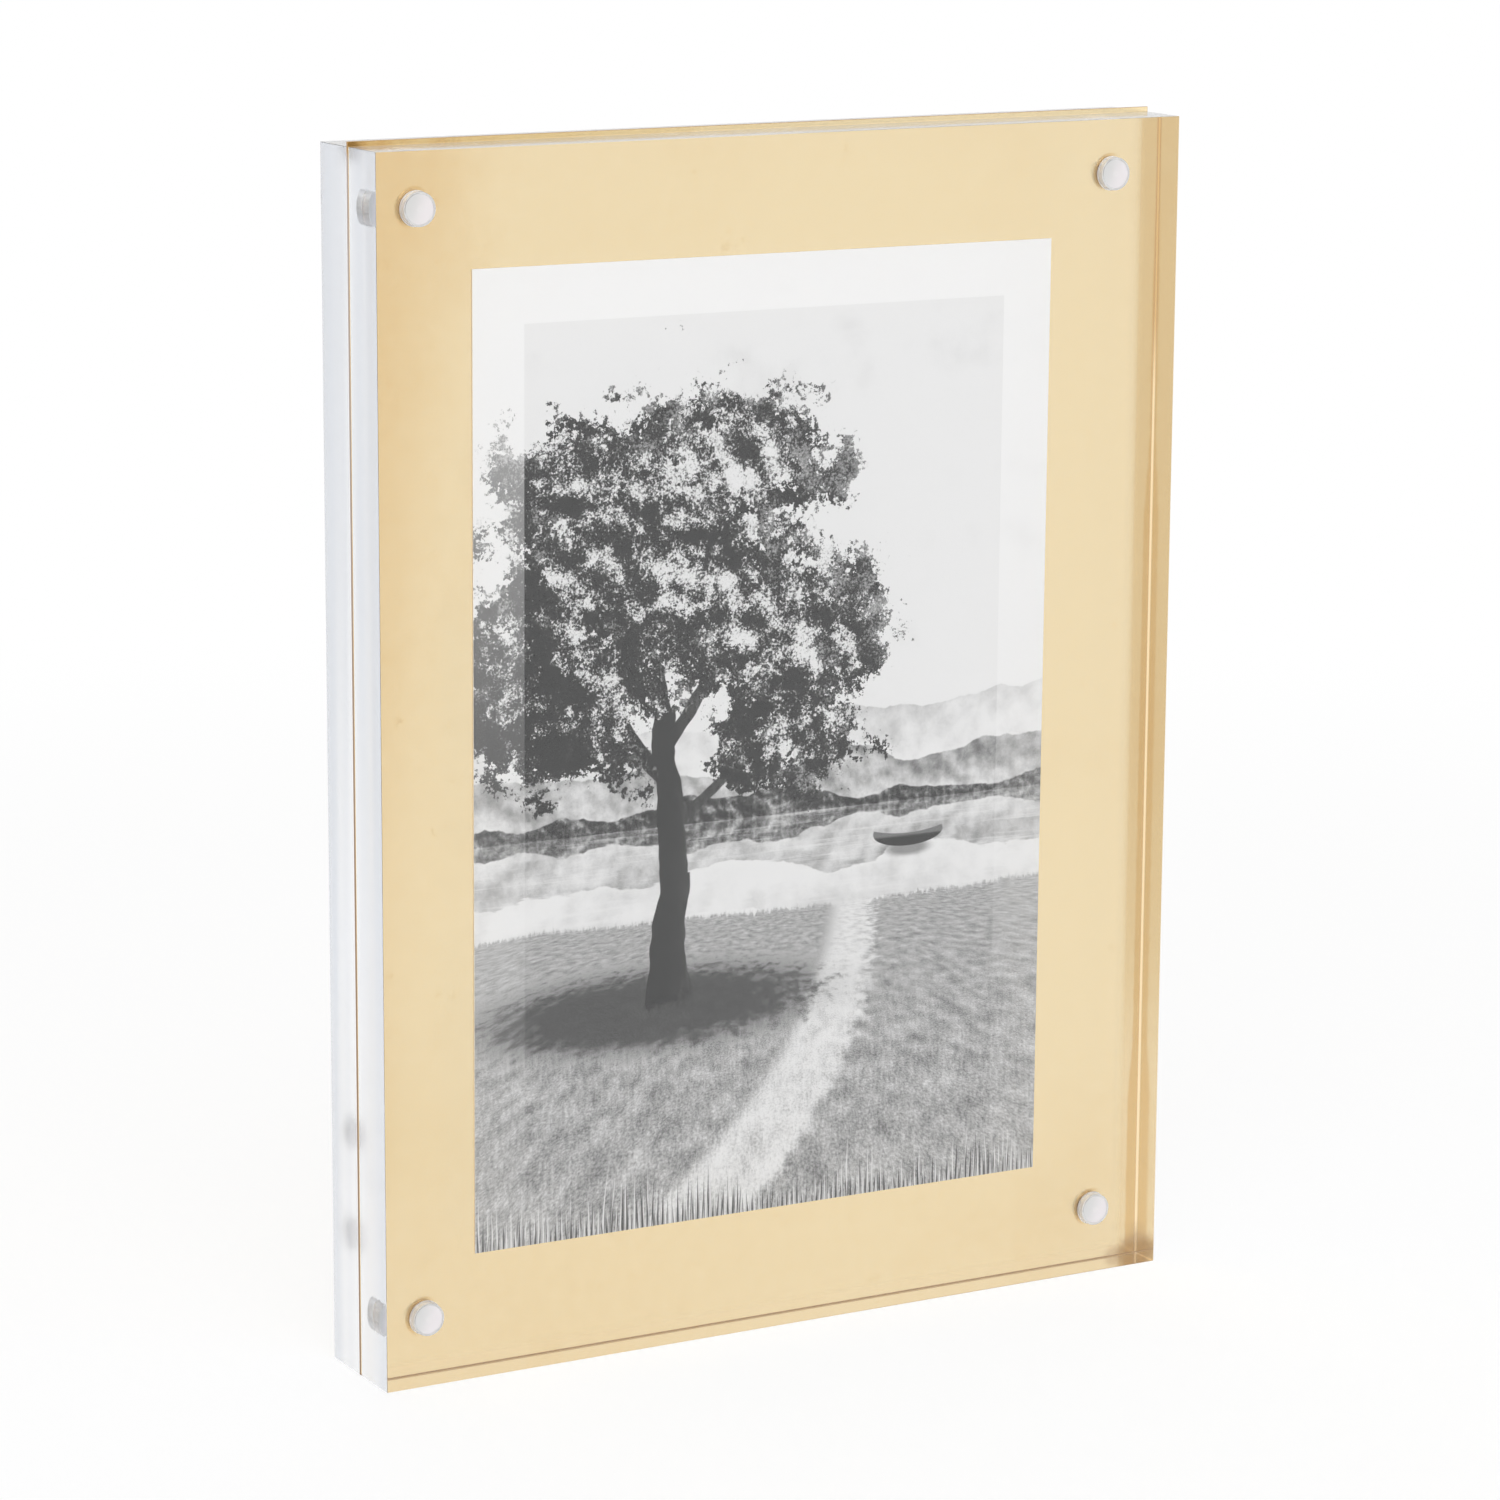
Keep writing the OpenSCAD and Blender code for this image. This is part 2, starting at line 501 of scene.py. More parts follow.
class FRAME_OT_brass_sheet(bpy.types.Operator):
    """Makes the brass sheet, with its satin, its dull patches and its painted light and shade"""

    bl_idname = "picture_frame.brass_sheet"
    bl_label = "Brass Sheet"

    def execute(self, context):
        settings = context.scene.frame_brass
        low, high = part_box("brass_sheet")
        film = Vector((0, AIR_FILM, 0))
        bm = rounded_slab(low + film, high - film, settings.rim)
        material = self.satin(settings, low / MM, high / MM)
        finished_piece(bm, "rolled_brass_sheet", [material], "brass", "brass_sheet")
        return {"FINISHED"}

    def satin(self, settings, low, high):
        """Satin brass. Low and high are the sheet's corners in millimetres."""
        g = new_material("satin_brass")
        place = g.place()
        x, _, z = g.axes(place)
        wide, proud = (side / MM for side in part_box("front_block")[1].xz)
        clouds = g.noise(place, scale=0.03, detail=3, roughness=0.55)
        mottle = g.noise(place, scale=0.35, detail=3, roughness=0.6)
        dull = self.tarnish_and_shade(g, place, x, z, wide, proud, clouds, mottle)
        colour = g.mix(g.smooth(dull, 0, 1), settings.clean, settings.dull_and_shaded)
        # Painted light on the last of the right edge: a pale highlight lower down, and darker orange, painted
        # shade, high up
        high_up = g.smooth(z, 142, 158)
        painted_edge_light = g.mix(high_up, (1.0, 0.78, 0.48), (0.72, 0.47, 0.2))
        colour = g.mix(g.smooth(x + 0.15 * high_up, wide - 0.3, wide - 0.2), colour, painted_edge_light)
        # The foot is brown, partly its oxide and partly painted shade of the dark gap beneath it; the lower
        # right corner is brown too, as painted shade
        lower_right_shade = g.smooth(x + 4 * mottle - 1.2 * z, wide - 6, wide - 1)
        foot = g.math("MAXIMUM", g.smooth(z, 0.3, 0.1), 0.7 * lower_right_shade)
        colour = g.mix(foot, colour, (0.42, 0.25, 0.1))
        colour = self.top_strip(g, colour, place, x, z, proud)
        # The sheared edges, where reach comes near to 0, are dark: partly brown oxide, partly painted shade
        # of the gaps they stand in
        reach = g.math("MAXIMUM", x - high.x, g.math("MAXIMUM", z - high.z, low.x - x))
        reach = g.math("MAXIMUM", reach, low.z - z)
        rim = g.smooth(reach + 0.04 * (mottle - 0.5), -0.07, -0.02)
        edge_oxide_and_shade = g.mix(g.smooth(z, 60, proud - 3), settings.sheared, (0.5, 0.42, 0.37))
        edge_oxide_and_shade = g.mix(g.smooth(z, proud - 2, proud - 0.5), edge_oxide_and_shade, (0.5, 0.3, 0.12))
        colour = g.mix(rim, colour, edge_oxide_and_shade)
        grain = g.noise(place, scale=2.2, roughness=0.6)
        rolled = g.noise(g.vector(x * 0.06, z * 3.0), scale=1.0, detail=3, roughness=0.6)
        satin = settings.roughness + 0.1 * (clouds - 0.5) + 0.04 * (rolled - 0.5)
        return g.finish(
            g.principled(
                {
                    "Base Color": colour,
                    "Metallic": 1.0,
                    "Roughness": satin + 0.2 * rim,
                    "Normal": g.bump(grain, 0.004 * MM),
                }
            )
        )

    def tarnish_and_shade(self, g, place, x, z, wide, proud, clouds, mottle):
        """How dull the sheet is: dull patches of its own, and painted shade. The blocks' right side is at
        wide and their top at proud, in millimetres.
        """
        # The left of the sheet, most of all its upper corner, and its foot
        corner = g.smooth(x + (proud - z) * 0.12 + (clouds - 0.5) * 30, -43, -66)
        dull = 0.08 + 0.12 * g.smooth(clouds, 0.45, 0.75) + 0.45 * corner + 0.08 * g.smooth(x, 20, -40)
        dull = dull + 0.14 * g.smooth(z, 60, 0)
        # Painted shade: a band along the right edge, wider lower down, and a fainter one beside it
        shade_band = 0.35 + 0.8 * g.smooth(z, 138, 122) + 0.7 * g.smooth(z, 38, 26) + 0.3 * (mottle - 0.5)
        edge = g.smooth(x + shade_band, wide - 0.4, wide - 0.15)
        dull = dull + edge * (0.45 + 0.35 * g.smooth(z, 60, 0)) * g.smooth(z, 178, 160)
        dull = dull + 0.12 * g.smooth(x, wide - 4.2, wide - 3.0) + 0.2 * (mottle - 0.5)
        speck = g.noise(g.shifted(place, (40, 0, 9)), scale=0.14, detail=5, roughness=0.8)
        dull = dull + 0.3 * g.smooth(speck, 0.6, 0.72)
        # Painted shade: a dark ring on the sheet at the upper left of each magnet
        u, v, away = g.from_magnet(x, z)
        ring = g.smooth(away, 2.5, 2.75) * g.smooth(away + 0.5 * mottle, 3.7, 3.2)
        return dull + 0.7 * ring * g.smooth(u - 0.5 * v, 1.0, -2.5)

    def top_strip(self, g, colour, place, x, z, proud):
        """The strip above the blocks is handled most: brown at its left end, pale at its right."""
        top = g.smooth(z, proud - 0.03, proud + 0.03)
        blotch = g.noise(place, scale=0.16, detail=4, roughness=0.7) - 0.5
        strip = g.mix(g.smooth(x + 60 * blotch, -74, -46), (0.7, 0.42, 0.14), (0.88, 0.66, 0.33))
        strip = g.mix(g.smooth(x + 60 * blotch, -50, 20), strip, (0.97, 0.8, 0.5))
        strip = g.mix(g.smooth(x + 8 * blotch, -66, -69.5), strip, (0.36, 0.2, 0.06))
        return g.mix(top, colour, strip)


# Places in the picture are in millimetres to the right of and above the middle of the print
SHORE = -12.0
BANK = -27.0
# The hills, the farthest first: height of the crest, how much it rises and falls, its scale, dark and pale
# tone, scale of the lumps, seed
HILLS = (
    (4.0, 26.0, 0.02, 0.76, 0.88, 0.05, 3.0),
    (-4.0, 22.0, 0.028, 0.62, 0.8, 0.09, 9.0),
    (-9.5, 12.0, 0.05, 0.4, 0.56, 0.22, 17.0),
)
# Trunk and boughs of the tree: where each starts and ends, and half of its width there
LIMBS = (
    ((-17.0, -41.0), (-16.0, -20.0), 3.6, 2.5),
    ((-16.2, -22.0), (-18.5, 6.0), 2.6, 1.9),
    ((-17.0, -6.0), (-33.0, 14.0), 1.5, 0.5),
    ((-18.0, 0.0), (-2.0, 24.0), 1.4, 0.4),
    ((-18.5, 5.0), (-24.0, 36.0), 1.5, 0.4),
    ((-16.5, -12.0), (4.0, 4.0), 1.1, 0.3),
    ((-26.0, 5.0), (-44.0, 9.0), 0.8, 0.3),
)
# Ovals of the tree's crown: middle, half width and half height
CROWN = (
    (-20.0, 30.0, 29.0, 22.0),
    (-38.0, 12.0, 20.0, 15.0),
    (1.0, 18.0, 19.0, 15.0),
    (-7.0, 44.0, 19.0, 12.0),
    (4.0, 0.0, 13.0, 8.0),
    (-33.0, 43.0, 16.0, 9.0),
)
# Two layers of leaves: the scale of their clumps, how dense they are, dark and lit tone, seed
LEAVES = (
    (0.13, 0.12, 0.12, 0.46, 2.0),
    (0.17, -0.1, 0.2, 0.74, 7.0),
)
# Rows of grass blades on the lower edge, the farthest first: width, height, tone, seed
BLADES = (
    (1.1, 10.0, 0.5, 2.0),
    (0.8, 15.0, 0.78, 3.0),
    (0.9, 11.0, 0.4, 5.0),
    (0.7, 8.0, 0.66, 8.0),
)


class FRAME_PG_print(bpy.types.PropertyGroup):
    """The loose print."""

    size: FloatVectorProperty(
        name="Size",
        description="Width and height of the paper",
        subtype="XYZ_LENGTH",
        size=2,
        default=(101.6 * MM, 152.4 * MM),
    )
    turn: FloatProperty(
        name="Turn",
        description="How far the loose print lies turned clockwise",
        default=math.radians(0.2),
        subtype="ANGLE",
    )
    margin: FloatProperty(
        name="Margin",
        description="Width of the pale margin",
        default=8.6 * MM,
        min=0,
        unit="LENGTH",
    )


class FRAME_OT_photo_print(bpy.types.Operator):
    """Makes the loose print: a broad tree on a meadow by a lake, in black and white"""

    bl_idname = "picture_frame.photo_print"
    bl_label = "Photo Print"

    def execute(self, context):
        settings = context.scene.frame_print
        low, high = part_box("photo_print")
        centre = (low + high) / 2
        width, height = settings.size
        half = Vector((width / 2, (high.y - low.y) / 2 - AIR_FILM, height / 2))
        bm = rounded_slab(-half, half, PAPER_EDGE)
        turn = Matrix.Rotation(settings.turn, 4, "Y")
        bmesh.ops.transform(bm, matrix=Matrix.Translation(centre) @ turn, verts=bm.verts)
        material = self.paper(settings, centre, (low - centre).y / MM)
        finished_piece(bm, "glossy_print", [material], "print", "photo_print")
        return {"FINISHED"}

    def paper(self, settings, centre, front):
        """Photographic paper. Front is where its face lies before its middle, in millimetres."""
        g = new_material("photo_paper")
        sockets = {
            "Vector": g.node("TexCoord", outlet="Object"),
            "Location": centre,
            "Rotation": (0, settings.turn, 0),
            "Scale": (MM, MM, MM),
        }
        u, depth, v = g.axes(g.node("Mapping", {"vector_type": "TEXTURE"}, sockets))
        tone = self.picture(g, u, v)
        width, height = (side / MM / 2 for side in settings.size)
        margin = settings.margin / MM
        inner = g.smooth(abs(u), width - margin + 0.06, width - margin - 0.06)
        inner = inner * g.smooth(v, height - margin + 0.06, height - margin - 0.06)
        # The pale margin is strong at the top and fades out downwards
        fade = g.smooth(v, -50, height)
        tone = g.blend((1 - inner) * (0.12 + 0.55 * fade), tone, 0.97)
        face = depth < front + PAPER_EDGE / MM + 0.01
        tone = g.blend(face, 0.95, tone)
        return g.finish(
            g.principled({"Base Color": g.grey(tone), "Roughness": 0.35, "Specular IOR Level": 0.1})
        )

    def picture(self, g, u, v):
        """The tone of the whole picture at one spot, from 0 for black to 1 for white."""
        tone = self.lake(g, u, v)
        tone = self.boat(g, u, v, tone)
        tone = self.meadow(g, u, v, tone)
        tone = self.tree(g, u, v, tone)
        for thick, height, tint, seed in BLADES:
            tone = g.blend(self.blades(g, u, v, thick, height, seed), tone, tint)
        grain = g.noise(g.vector(u, v), scale=4.5, roughness=0.7) - 0.5
        return 0.02 + 0.9 * g.smooth(tone + 0.06 * grain, 0.15, 0.88)

    def lake(self, g, u, v):
        """Sky and hills, and the lake that mirrors them below its far shore."""
        water = g.smooth(v, SHORE + 0.1, SHORE - 0.1)
        away = abs(v - SHORE)
        wave = g.noise(g.vector(u * 0.05, v * 0.9), scale=1.0, detail=3, roughness=0.6) - 0.5
        swell = water * wave * (0.5 + away * 0.12)
        high = SHORE + abs(away + swell)
        spot = g.vector(u + swell, 0.0, high)
        tone = self.sky(g, spot)
        for lift, rise, scale, dark, pale, lump, seed in HILLS:
            line = g.noise(g.vector(u + swell, seed * 11.0), scale=scale, detail=7)
            drop = lift + rise * (line - 0.5) - high
            relief = self.relief(g, spot, lump, 0.12 / lump, seed)
            shade = g.blend(g.smooth(drop, 0, 14), dark, pale) + relief * (0.6 + 6 * lump)
            tone = g.blend(g.smooth(drop, -0.15, 0.2), tone, shade)
        glint = g.smooth(g.noise(g.vector(u * 0.04, v * 1.1), scale=1.0, detail=4, roughness=0.7), 0.48, 0.75)
        return g.blend(water * (0.25 + 0.4 * glint), tone, 0.86)

    def meadow(self, g, u, v, tone):
        """The meadow on the near bank, in perspective, with a track and the shade of the tree."""
        rise = g.noise(g.vector(u, 4.0), scale=0.03, detail=3) - 0.5
        near = BANK + rise * 5 - v
        depth = 1 / (near + 10)
        turf = g.vector(u * depth * 20, depth * 900)
        grass = g.noise(g.vector(u * 1.3, v * 0.3), scale=1.0, detail=4, roughness=0.7) - 0.5
        patch = g.noise(turf, scale=0.45, detail=5, roughness=0.6) - 0.5
        fine = g.noise(turf, scale=5.0, detail=3, roughness=0.75) - 0.5
        track = abs(u - 16 + 0.012 * near * near - patch * 6) - 3 - near * 0.12
        track = g.smooth(track, 2.0, -1.5)
        meadow = 0.62 + 0.42 * patch + 0.5 * fine + 0.3 * grass * g.smooth(near, 4, 30) + 0.16 * track
        shade = self.oval(g, u, v, x=-20.0, y=-41.0, wide=36.0, tall=7.5) + 1.3 * patch + 1.1 * fine
        meadow = g.blend(g.smooth(shade, 0.0, 0.45) * 0.75, meadow, 0.3 + 0.6 * fine)
        return g.blend(g.smooth(near + 3 * (fine + grass), -0.2, 0.3), tone, meadow)

    def boat(self, g, u, v, tone):
        """A small rowing boat on the lake and its reflection."""
        middle = 26.0
        hull = self.oval(g, u, v, x=middle, y=-17.2, wide=6.5, tall=2.3)
        # The gunwale curves up to the bow and the stern
        hull = g.math("MINIMUM", hull * 3, -17.4 + 0.02 * (u - middle) * (u - middle) - v)
        image = self.oval(g, u, v, x=middle, y=-19.8, wide=6.0, tall=1.8)
        tone = g.blend(0.55 * g.smooth(image, 0.0, 0.6), tone, 0.35)
        return g.blend(g.smooth(hull, -0.05, 0.1), tone, g.blend(g.smooth(v, -18.3, -17.6), 0.24, 0.5))

    def blades(self, g, u, v, thick, height, seed):
        """1 on the grass that stands along the lower edge of the picture."""
        foot = -77
        up = v - foot
        patch = g.smooth(g.noise(g.vector(u, seed), scale=0.09), 0.3, 0.7)
        lean = g.noise(g.vector(u * 0.5, seed * 5), scale=0.4, detail=1) - 0.5
        row = (u - up * up * 0.05 * lean) / thick + seed * 5.1
        cell = g.math("FLOOR", row)
        chance = g.node("TexWhiteNoise", {"noise_dimensions": "1D"}, {"W": cell + seed})
        tip = height * (0.3 + 0.7 * patch) * (0.35 + 0.65 * chance)
        half = 0.5 - abs(row - cell - 0.5)
        return g.smooth(half - 0.2 - 0.3 * up / tip, -0.05, 0.1) * g.smooth(tip - up, -0.1, 0.4)

    def sky(self, g, spot):
        """A pale sky with soft clouds."""
        cloud = g.noise(spot, scale=0.028, detail=6, roughness=0.55)
        return 0.9 + 0.08 * g.smooth(cloud, 0.35, 0.65) - 0.05 + 0.5 * self.relief(g, spot, 0.03, 4.0, 1.0)

    def relief(self, g, spot, scale, reach, seed):
        """Light on one side of each lump of a noise and shade on the other."""
        here = g.shifted(spot, (seed, seed, 0))
        there = g.shifted(spot, (seed - reach * 0.7, seed, -reach))
        lumps, beyond = (g.noise(at, scale, detail=6, roughness=0.6) for at in (here, there))
        return beyond - lumps

    def oval(self, g, u, v, x, y, wide, tall):
        """1 in the middle of an oval and 0 on its edge."""
        across, along = (u - x) / wide, (v - y) / tall
        return 1 - g.math("SQRT", across * across + along * along)

    def limb(self, g, u, v, start, end, thick, thin):
        """How deep a point lies inside a tapered limb."""
        (x0, y0), (x1, y1) = start, end
        length = math.hypot(x1 - x0, y1 - y0)
        ax, ay = (x1 - x0) / length, (y1 - y0) / length
        along = (u - x0) * ax + (v - y0) * ay
        across = abs((v - y0) * ax - (u - x0) * ay)
        inside = thick + (thin - thick) / length * along - across
        ends = g.math("MINIMUM", along + 0.5, length + 0.5 - along)
        return g.math("MINIMUM", inside, ends)

    def tree(self, g, u, v, tone):
        """Draws the tree over the picture."""
        return self.crown(g, u, v, self.wood(g, u, v, tone))

    def wood(self, g, u, v, tone):
        """Draws the trunk, which flares and ends in the grass at its foot, and the boughs."""
        bend = g.noise(g.vector(v * 0.4, 9.0), scale=0.2, detail=3) - 0.5
        wood = None
        for start, end, thick, thin in LIMBS:
            limb = self.limb(g, u + bend * 5, v, start, end, thick, thin)
            wood = limb if wood is None else g.math("MAXIMUM", wood, limb)
        flare = g.smooth(v, -34, -41) * 1.6
        bark = g.noise(g.vector(u * 1.2, v * 0.25), scale=1.0, detail=5, roughness=0.7) - 0.5
        side = g.smooth(u + 17, -3, 4)
        tuft = g.noise(g.vector(u * 1.6, v * 0.5), scale=1.0, detail=3, roughness=0.7) - 0.5
        wood = g.smooth(wood + flare * g.smooth(wood, -1.7, 0), -0.1, 0.2)
        wood = wood * g.smooth(v + 5 * tuft, -41, -39.6)
        return g.blend(wood, tone, 0.14 + 0.22 * side + 0.4 * bark)

    def crown(self, g, u, v, tone):
        """Draws the leaves, each clump lit from one side."""
        flat = g.vector(u, 0.0, v)
        crown = None
        for x, y, wide, tall in CROWN:
            lobe = self.oval(g, u, v, x, y, wide, tall)
            crown = lobe if crown is None else g.math("MAXIMUM", crown, lobe)
        for scale, dense, dark, lit, seed in LEAVES:
            spot = g.shifted(flat, (seed * 9, seed, 0))
            clump = g.noise(spot, scale=scale, detail=4, roughness=0.6) - 0.5
            leaf = g.noise(spot, scale=1.0, detail=3, roughness=0.75)
            leaves = g.smooth(crown * 0.8 + dense + clump * 1.9 + (leaf - 0.5) * 1.1, 0.08, 0.18)
            light = 0.45 + 2.6 * self.relief(g, spot, scale, 2.6, seed) + 0.004 * (u + v)
            speck = g.noise(spot, scale=2.6, roughness=0.7) - 0.5
            dab = g.smooth(leaf + 0.55 * light + 0.8 * speck, 0.6, 1.0)
            shade = g.blend(dab, dark, lit) + 0.2 * (light - 0.5) + 0.5 * speck
            tone = g.blend(leaves, tone, g.math("MAXIMUM", shade, 0.1))
        return tone


class FRAME_PG_nickel(bpy.types.PropertyGroup):
    """The disc magnets."""

    colour: FloatVectorProperty(
        name="Nickel",
        description="Colour of the plating",
        subtype="COLOR",
        size=3,
        default=(0.93, 0.9, 0.93),
        min=0,
        max=1,
    )
    shade: FloatVectorProperty(
        name="Shaded Nickel",
        description="Colour of the plating on the side that mirrors the darker half of the room",
        subtype="COLOR",
        size=3,
        default=(0.72, 0.74, 0.74),
        min=0,
        max=1,
    )
    rim: FloatProperty(
        name="Rim",
        description="Radius of the rounded rims",
        default=0.16 * MM,
        min=0,
        unit="LENGTH",
    )
    sides: IntProperty(name="Sides", description="Facets round a disc", default=96, min=16)


class FRAME_OT_magnets(bpy.types.Operator):
    """Makes the eight plated disc magnets"""

    bl_idname = "picture_frame.magnets"
    bl_label = "Disc Magnets"

    def execute(self, context):
        settings = context.scene.frame_nickel
        material = self.plating(settings)
        for body in ("front", "back"):
            for corner in CORNERS:
                node = f"magnet_{body}_{corner}"
                finished_piece(self.disc(node, settings), "plated_" + node, [material], body, node)
        return {"FINISHED"}

    def disc(self, node, settings):
        low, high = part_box(node)
        radius = (high.x - low.x) / 2
        bm = bmesh.new()
        bmesh.ops.create_cone(
            bm,
            cap_ends=True,
            segments=settings.sides,
            radius1=radius,
            radius2=radius,
            depth=high.y - low.y,
            matrix=Matrix.Rotation(math.pi / 2, 4, "X"),
        )
        rims = [e for e in bm.edges if abs(e.verts[0].co.y - e.verts[1].co.y) < radius / 100]
        bmesh.ops.bevel(
            bm, geom=rims, offset=settings.rim, segments=4, profile=0.5, affect="EDGES", material=-1
        )
        bmesh.ops.translate(bm, vec=(low + high) / 2, verts=bm.verts)
        for face in bm.faces:
            face.smooth = len(face.verts) == 4
        return bm

    def plating(self, settings):
        """Nickel plating, satin and a little cloudy, with painted shade on its left and its side, and a
        painted ring on its rim.
        """
        g = new_material("nickel_plating")
        place = g.place()
        x, y, z = g.axes(place)
        u, v, away = g.from_magnet(x, z)
        low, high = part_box("magnet_front_top_right")
        radius = (high.x - low.x) / 2 / MM
        # Painted shade: distances from the middle of the frame between which the side turns dark, towards the
        # pocket's floor; it is dark only at the disc's upper left
        darkening = [-(high.y + share * (low.y - high.y)) / MM for share in (0.55, 0.8)]
        cloud = g.noise(place, scale=0.5, detail=4, roughness=0.6)
        # Painted shade: the left of each disc takes the shaded colour
        left = g.smooth(u - 0.4 * v + 1.5 * (cloud - 0.5), 1.5, -2.2)
        colour = g.mix(left * 0.8, settings.colour, settings.shade)
        side = g.smooth(away, radius - 0.14, radius - 0.06)
        deep = g.smooth(abs(y) + 0.15 * (cloud - 0.5), *darkening)
        colour = g.mix(side * deep * g.smooth(u - 0.6 * v, 1.5, -0.5), colour, (0.24, 0.22, 0.2))
        # Painted highlight: a white ring on the rim, apart from the upper left, where the rim is painted dark
        # as painted shade
        upper_left_shade = g.smooth(u - 0.7 * v + 1.2 * (cloud - 0.5), -1.2, -2.6)
        painted_rim_ring = g.smooth(away, radius - 0.18, radius - 0.14) * (1 - side)
        colour = g.mix(painted_rim_ring, colour, g.mix(upper_left_shade, (1, 1, 1), (0.3, 0.27, 0.26)))
        # A pale ring round the middle of each face, and fine rings round it
        middle_ring = g.smooth(abs(away - 0.32), 0.16, 0.04)
        colour = g.mix(middle_ring * 0.35, colour, (1, 1, 1))
        rings = g.noise(g.vector(away * 2.2), scale=3.0, detail=3, roughness=0.7)
        grain = g.noise(place, scale=2.5)
        return g.finish(
            g.principled(
                {
                    "Base Color": colour,
                    "Metallic": 1 - painted_rim_ring * (1 - upper_left_shade),
                    "Roughness": 0.3 + 0.12 * (cloud - 0.5),
                    "Normal": g.bump(grain + 0.6 * rings, 0.002 * MM),
                }
            )
        )


# Sizes and places in the studio, in metres
FLOOR_RADIUS = 20.0
SOFTBOX_SIZE = (1.2, 0.9)
SOFTBOX_PLACE = Vector((-0.5, -0.9, 1.3))
SOFTBOX_TARGET = Vector((0, 0, 0.1))


class FRAME_PG_studio(bpy.types.PropertyGroup):
    """Camera, floor and light."""

    azimuth: FloatProperty(
        name="Azimuth",
        description="Direction that the camera looks from",
        default=math.radians(-29.267),
        subtype="ANGLE",
    )
    elevation: FloatProperty(
        name="Elevation",
        description="Height of the view above the horizon",
        default=math.radians(12.007),
        subtype="ANGLE",
    )
    roll: FloatProperty(
        name="Roll", description="Turn about the line of sight", default=math.radians(0.321), subtype="ANGLE"
    )
    camera_at: FloatVectorProperty(
        name="Camera",
        description="Where the camera stands",
        subtype="TRANSLATION",
        size=3,
        default=(-0.38628, -0.68613, 0.25911),
    )
    lens: FloatProperty(name="Focal Length", description="Lens in millimetres", default=122.98, min=1)
    dome: FloatProperty(
        name="Dome", description="Strength of the light from all round", default=0.8, min=0
    )
    softbox: FloatProperty(
        name="Softbox", description="Power of the large lamp", default=6.0, min=0, unit="POWER"
    )
    warm_side: FloatVectorProperty(
        name="Warm Side",
        description="What the studio mirrors from the camera's side",
        subtype="COLOR",
        size=3,
        default=(0.82, 0.74, 0.6),
        min=0,
        max=1,
    )


